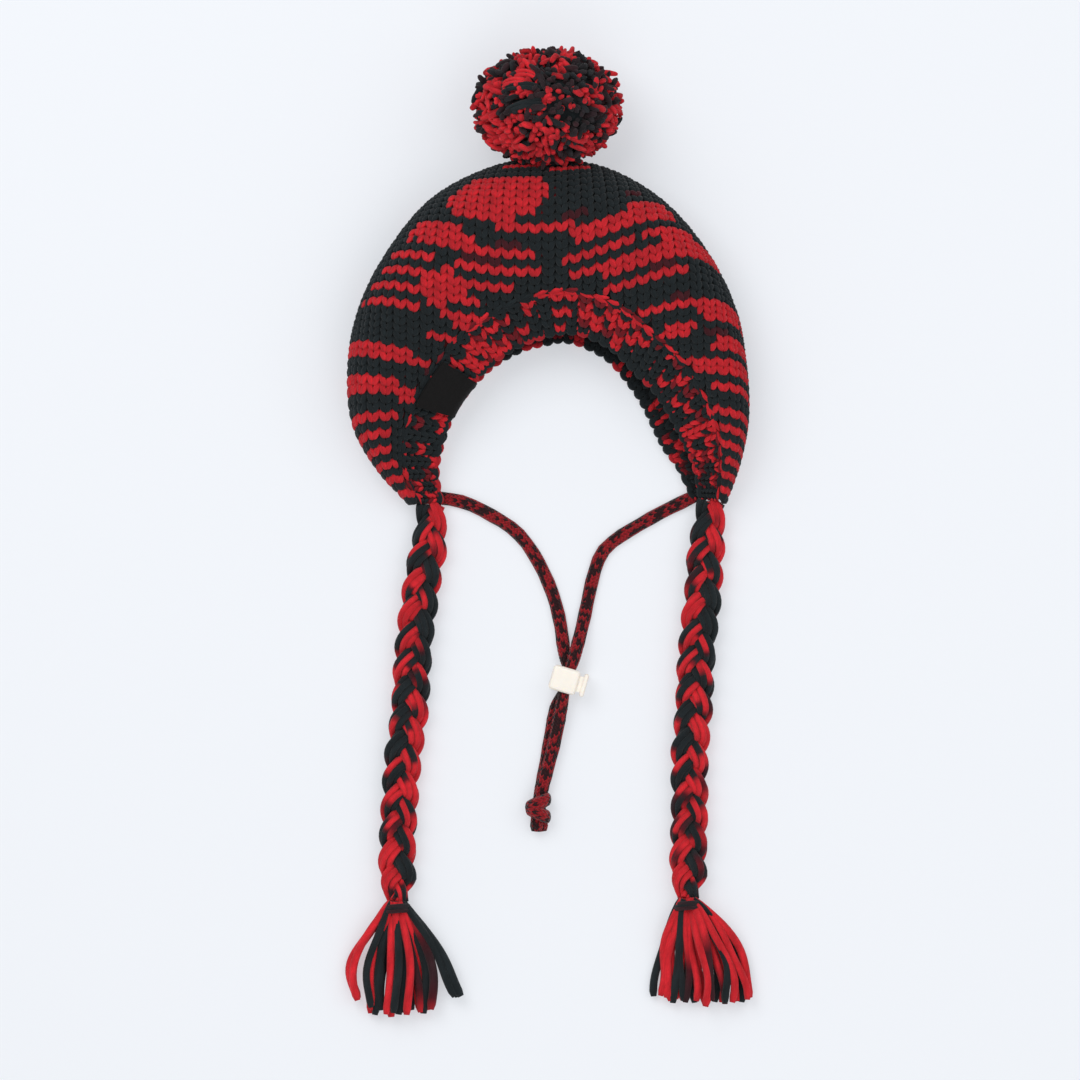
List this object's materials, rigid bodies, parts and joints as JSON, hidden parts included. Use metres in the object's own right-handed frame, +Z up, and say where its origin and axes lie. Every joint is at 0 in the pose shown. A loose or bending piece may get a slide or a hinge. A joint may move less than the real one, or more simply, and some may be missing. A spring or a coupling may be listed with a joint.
{
  "type": "knitted pet beanie",
  "caption": "Chunky knitted pet hat with ear flaps, a pompom, plaited ties with tassels and a chin cord with a sliding lock.",
  "frame": {"origin": "on the flattened underside of the crown's back panel, in its middle, where the hat rests on a surface", "axes": "+Z up from the surface through the hat's front, +Y from the ear flaps to the pompom, +X to the right seen from above"},
  "size_m": [0.2053, 0.4782, 0.062],
  "materials": {
    "knitted_yarn": "chunky stocking stitch in variegated red and charcoal yarn",
    "ribbed_yarn": "ribbed band with a scalloped edge in the same yarn",
    "pompom_yarn": "cut yarn ends, red and charcoal",
    "plaited_yarn": "soft plaited yarn, red with charcoal runs",
    "dark_yarn": "charcoal yarn with red runs",
    "flat_cord": "fine knitted flat cord, dark red and black",
    "woven_label": "black woven tape",
    "ivory_plastic": "moulded, satin"
  },
  "bodies": {
    "root": {"crown": "knitted_yarn", "rim_band": "ribbed_yarn", "side_label": "woven_label", "pompom": "pompom_yarn", "braid_left_strand_1": "plaited_yarn", "braid_left_strand_2": "plaited_yarn", "braid_left_strand_3": "plaited_yarn", "braid_right_strand_1": "plaited_yarn", "braid_right_strand_2": "plaited_yarn", "braid_right_strand_3": "plaited_yarn", "tassel_left": "dark_yarn", "tassel_right": "dark_yarn", "tassel_tie_left": "dark_yarn", "tassel_tie_right": "dark_yarn", "chin_cord_left": "flat_cord", "chin_cord_right": "flat_cord", "cord_knot": "flat_cord", "cord_lock_barrel": "ivory_plastic", "cord_lock_button": "ivory_plastic"}
  },
  "joints": []
}
